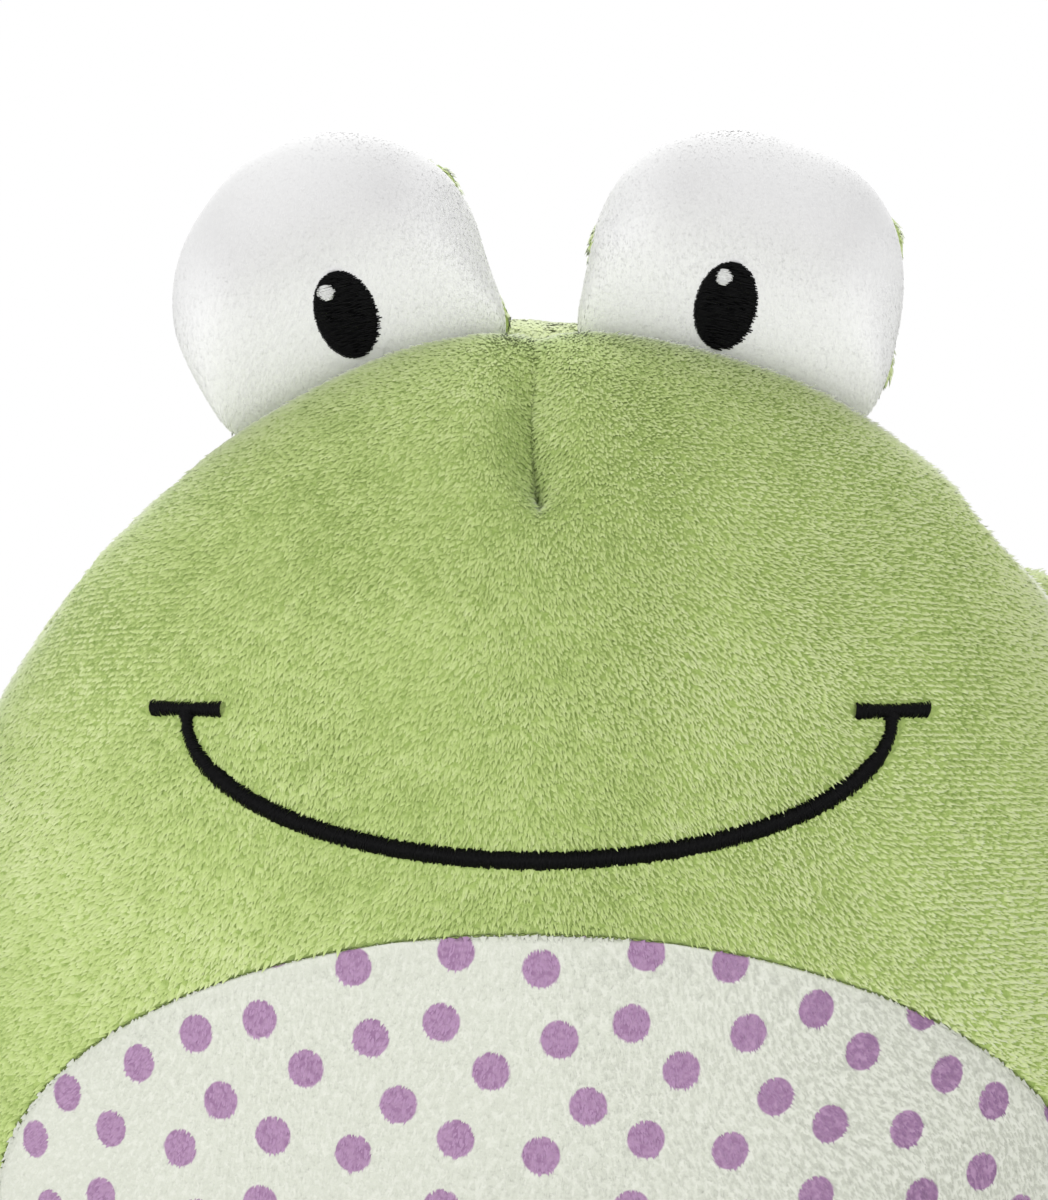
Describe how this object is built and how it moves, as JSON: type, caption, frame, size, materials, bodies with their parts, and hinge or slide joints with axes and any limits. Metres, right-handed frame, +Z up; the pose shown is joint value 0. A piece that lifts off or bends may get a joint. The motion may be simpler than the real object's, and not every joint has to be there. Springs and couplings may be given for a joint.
{
  "type": "plush frog pillow",
  "caption": "Plush frog pillow: an egg-shaped stuffed cushion with a dotted belly panel, a stitched smile and soft eye lobes that flop on their seams.",
  "frame": {"origin": "on the floor under the middle of the cushion", "axes": "+Z up, -Y towards the face, +X towards the viewer's right of the face"},
  "size_m": [0.3288, 0.1747, 0.3799],
  "materials": {
    "green_plush": "matte",
    "dotted_plush": "matte",
    "white_plush": "matte",
    "fibre_filling": "matte",
    "black_satin_stitch": "satin",
    "white_thread": "satin",
    "green_thread": "satin",
    "stabiliser": "matte"
  },
  "bodies": {
    "body": {"face_panel": "green_plush", "belly_panel": "dotted_plush", "left_back_panel": "green_plush", "right_back_panel": "green_plush", "body_fill": "fibre_filling", "mouth_line": "black_satin_stitch", "left_mouth_bar": "black_satin_stitch", "right_mouth_bar": "black_satin_stitch", "mouth_backing": "stabiliser", "rim_seam_thread": "green_thread", "belly_seam_thread": "green_thread", "dart_seam_thread": "green_thread", "back_seam_thread": "green_thread", "closing_stitch": "green_thread"},
    "left_eye": {"left_eye_front": "white_plush", "left_eye_back": "green_plush", "left_eye_fill": "fibre_filling", "left_eye_seam_thread": "white_thread", "left_pupil": "black_satin_stitch", "left_pupil_glint": "white_thread", "left_pupil_backing": "stabiliser"},
    "right_eye": {"right_eye_front": "white_plush", "right_eye_back": "green_plush", "right_eye_fill": "fibre_filling", "right_eye_seam_thread": "white_thread", "right_pupil": "black_satin_stitch", "right_pupil_glint": "white_thread", "right_pupil_backing": "stabiliser"}
  },
  "joints": [
    {"name": "left_eye_flop", "type": "hinge", "parent": "body", "child": "left_eye", "pos_m": [-0.04764, -0.0073, 0.3159], "axis": [0.94, 0, 0.3411], "range_deg": [-35, 35], "stiffness_Nm_per_rad": 0.02},
    {"name": "right_eye_flop", "type": "hinge", "parent": "body", "child": "right_eye", "pos_m": [0.04278, -0.00744, 0.31757], "axis": [0.9516, 0, -0.3073], "range_deg": [-35, 35], "stiffness_Nm_per_rad": 0.02}
  ]
}
